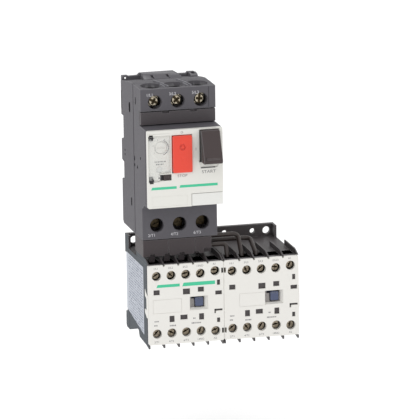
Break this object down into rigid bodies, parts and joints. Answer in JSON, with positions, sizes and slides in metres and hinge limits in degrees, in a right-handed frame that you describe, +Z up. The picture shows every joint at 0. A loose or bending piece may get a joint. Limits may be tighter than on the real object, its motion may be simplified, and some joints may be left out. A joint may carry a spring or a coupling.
{
  "type": "magnetic motor starter",
  "caption": "Reversing motor starter: push-button motor circuit breaker linked to an interlocked contactor pair, for rail mounting.",
  "frame": {"origin": "on the rail seat behind the left contactor, at the middle of its width and height", "axes": "+Y back into the panel, +X right, +Z up; the controls face -Y"},
  "size_m": [0.0908, 0.0739, 0.1539],
  "materials": {
    "slate": "satin moulded slate grey",
    "brown_black": "moulded brown black",
    "white_face": "smooth moulded white",
    "marker_white": "smooth white",
    "mechanism_dark": "moulded black",
    "start_black": "moulded brown black, satin",
    "stop_red": "moulded red",
    "dial_white": "moulded white",
    "slider_dark": "moulded dark grey",
    "clear_lid": "clear moulded plastic",
    "latch_dark": "moulded dark grey",
    "link_brown": "moulded brown black",
    "breaker_screw": "nickel plated",
    "base_slate_blue": "moulded blue slate",
    "cover_white": "smooth moulded white",
    "carrier_blue": "moulded blue",
    "magnet_iron": "laminated iron",
    "coil_tape": "winding tape",
    "spring_steel": "spring wire",
    "terminal_steel": "zinc plated",
    "rocker_dark": "moulded black",
    "wire_skin": "extruded insulation"
  },
  "bodies": {
    "starter": {"breaker_rear_shell": "slate", "breaker_front_shell": "slate", "breaker_shoulder_strip": "brown_black", "breaker_face": "white_face", "marker_plate": "marker_white", "trip_mechanism": "mechanism_dark", "link_block": "link_brown", "breaker_line_terminal_1": "breaker_screw", "breaker_line_terminal_2": "breaker_screw", "breaker_line_terminal_3": "breaker_screw", "breaker_load_terminal_1": "breaker_screw", "breaker_load_terminal_2": "breaker_screw", "breaker_load_terminal_3": "breaker_screw", "left_base": "base_slate_blue", "left_cover": "cover_white", "left_fixed_core": "magnet_iron", "left_coil": "coil_tape", "left_return_spring": "spring_steel", "left_top_terminal_1": "terminal_steel", "left_top_terminal_2": "terminal_steel", "left_top_terminal_3": "terminal_steel", "left_top_terminal_4": "terminal_steel", "left_top_terminal_5": "terminal_steel", "left_bottom_terminal_1": "terminal_steel", "left_bottom_terminal_2": "terminal_steel", "left_bottom_terminal_3": "terminal_steel", "left_bottom_terminal_4": "terminal_steel", "left_bottom_terminal_5": "terminal_steel", "right_base": "base_slate_blue", "right_cover": "cover_white", "right_fixed_core": "magnet_iron", "right_coil": "coil_tape", "right_return_spring": "spring_steel", "right_top_terminal_1": "terminal_steel", "right_top_terminal_2": "terminal_steel", "right_top_terminal_3": "terminal_steel", "right_top_terminal_4": "terminal_steel", "right_top_terminal_5": "terminal_steel", "right_bottom_terminal_1": "terminal_steel", "right_bottom_terminal_2": "terminal_steel", "right_bottom_terminal_3": "terminal_steel", "right_bottom_terminal_4": "terminal_steel", "right_bottom_terminal_5": "terminal_steel", "jumper_wire_1": "wire_skin", "jumper_wire_2": "wire_skin", "jumper_wire_3": "wire_skin"},
    "start_button": {"start_button": "start_black"},
    "stop_button": {"stop_button": "stop_red"},
    "setting_dial": {"setting_dial": "dial_white"},
    "test_slider": {"test_slider": "slider_dark"},
    "dial_lid": {"dial_lid": "clear_lid"},
    "breaker_rail_latch": {"breaker_rail_latch": "latch_dark"},
    "interlock_rocker": {"interlock_rocker": "rocker_dark"},
    "left_moving": {"left_contact_carrier": "carrier_blue", "left_armature": "magnet_iron"},
    "right_moving": {"right_contact_carrier": "carrier_blue", "right_armature": "magnet_iron"}
  },
  "joints": [
    {"name": "start_push", "type": "slide", "parent": "starter", "child": "start_button", "axis": [0, 1, 0], "range_m": [0, 0.005], "stiffness_N_per_m": 500},
    {"name": "stop_push", "type": "slide", "parent": "starter", "child": "stop_button", "axis": [0, 1, 0], "range_m": [0, 0.0025], "stiffness_N_per_m": 500},
    {"name": "dial_turn", "type": "hinge", "parent": "starter", "child": "setting_dial", "pos_m": [-0.015, -0.0594, 0.0925], "axis": [0, 1, 0], "range_deg": [-120, 120]},
    {"name": "test_slide", "type": "slide", "parent": "starter", "child": "test_slider", "axis": [-1, 0, 0], "range_m": [0, 0.0018], "stiffness_N_per_m": 200},
    {"name": "lid_hinge", "type": "hinge", "parent": "starter", "child": "dial_lid", "pos_m": [-0.0224, -0.0607, 0.0866], "axis": [0, 0, -1], "range_deg": [0, 120]},
    {"name": "rail_latch_pull", "type": "slide", "parent": "starter", "child": "breaker_rail_latch", "axis": [0, 0, -1], "range_m": [0, 0.004], "stiffness_N_per_m": 800},
    {"name": "left_contactor_close", "type": "slide", "parent": "starter", "child": "left_moving", "axis": [0, 1, 0], "range_m": [0, 0.004], "stiffness_N_per_m": 400, "deforming": ["left_return_spring"]},
    {"name": "right_contactor_close", "type": "slide", "parent": "starter", "child": "right_moving", "axis": [0, 1, 0], "range_m": [0, 0.004], "stiffness_N_per_m": 400, "deforming": ["right_return_spring"]},
    {"name": "interlock_rock", "type": "hinge", "parent": "starter", "child": "interlock_rocker", "pos_m": [0.0225, -0.0345, 0], "axis": [0, 0, 1], "range_deg": [-8, 8]}
  ]
}
